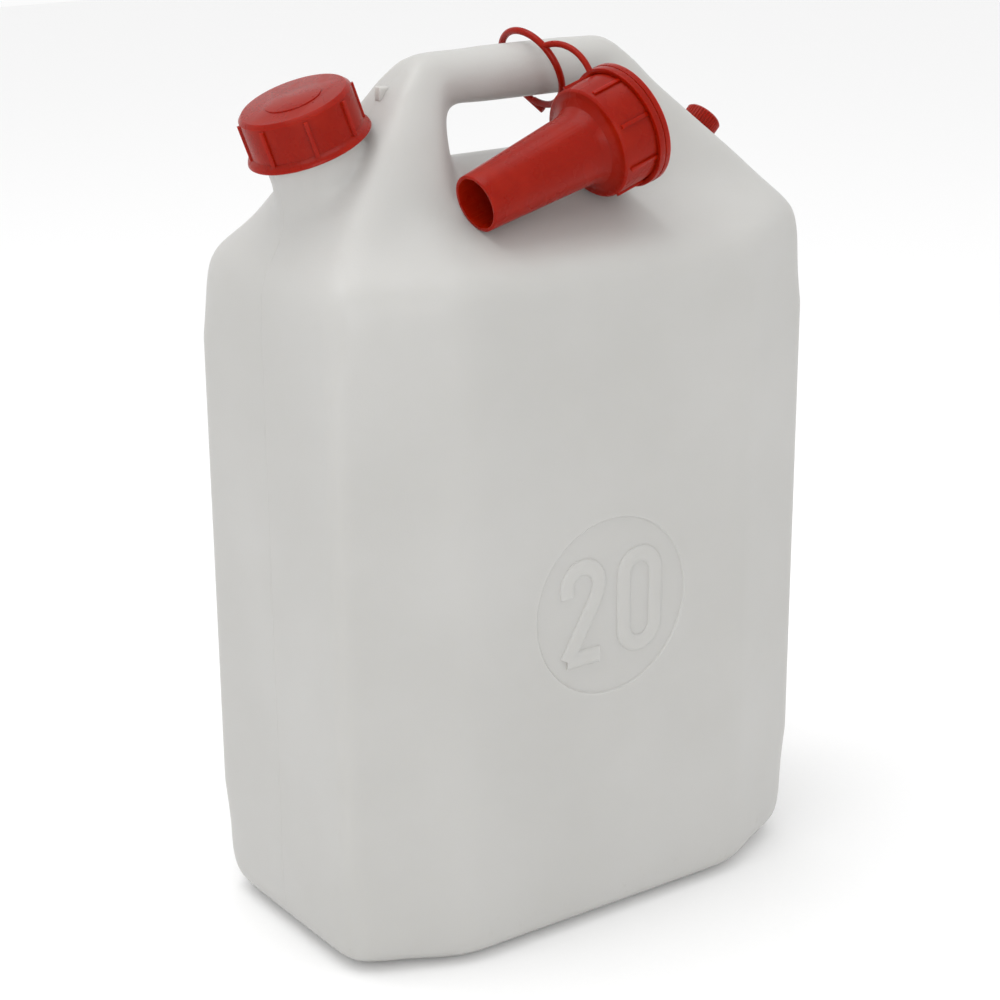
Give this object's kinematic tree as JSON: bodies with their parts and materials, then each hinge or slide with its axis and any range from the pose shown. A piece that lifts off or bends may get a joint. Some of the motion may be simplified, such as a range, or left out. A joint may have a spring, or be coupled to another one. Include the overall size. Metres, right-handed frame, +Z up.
{
  "type": "jerry can",
  "caption": "Octagonal blow-moulded jerry can with a screw cap, a threaded vent screw and a pouring spout tethered to its handle.",
  "frame": {"origin": "centre of the base, on the surface that the can stands on", "axes": "+Z up, +X along the length from the neck towards the vent, -Y towards the panel with the capacity mark"},
  "size_m": [0.3137, 0.1885, 0.4842],
  "materials": {
    "tank_plastic": "translucent, fine satin",
    "red_plastic": "semi-gloss",
    "seal_rubber": "matt"
  },
  "bodies": {
    "can": {"tank": "tank_plastic"},
    "cap_lift": {"cap_seal": "seal_rubber"},
    "cap": {"screw_cap": "red_plastic"},
    "vent_lift": {"vent_seal": "seal_rubber"},
    "vent": {"vent_screw": "red_plastic"},
    "strap": {"tether": "red_plastic"},
    "spout": {"pouring_spout": "red_plastic", "spout_seal": "seal_rubber"}
  },
  "joints": [
    {"name": "cap_rise", "type": "slide", "parent": "can", "child": "cap_lift", "axis": [-0.3535, 0, 0.9354], "range_m": [0, 0.025]},
    {"name": "cap_turn", "type": "hinge", "parent": "cap_lift", "child": "cap", "pos_m": [-0.1302, 0, 0.4561], "axis": [-0.3535, 0, 0.9354], "range_deg": [0, 1795]},
    {"name": "vent_rise", "type": "slide", "parent": "can", "child": "vent_lift", "axis": [0.7009, 0, 0.7133], "range_m": [0, 0.0106]},
    {"name": "vent_turn", "type": "hinge", "parent": "vent_lift", "child": "vent", "pos_m": [0.1257, 0, 0.41379], "axis": [0.7009, 0, 0.7133], "range_deg": [0, 1260]},
    {"name": "tether_swing", "type": "hinge", "parent": "can", "child": "strap", "pos_m": [0.0154, 0, 0.462], "axis": [-1, 0, 0], "range_deg": [0, 225]},
    {"name": "spout_swivel", "type": "hinge", "parent": "strap", "child": "spout", "pos_m": [-0.0663, -0.0651, 0.4094], "axis": [0.957, 0.0502, 0.2857], "continuous": true}
  ],
  "couplings": [
    {"joint": "cap_rise", "follows": "cap_turn", "m_per_rad": 0.00079577},
    {"joint": "vent_rise", "follows": "vent_turn", "m_per_rad": 0.00047746}
  ]
}
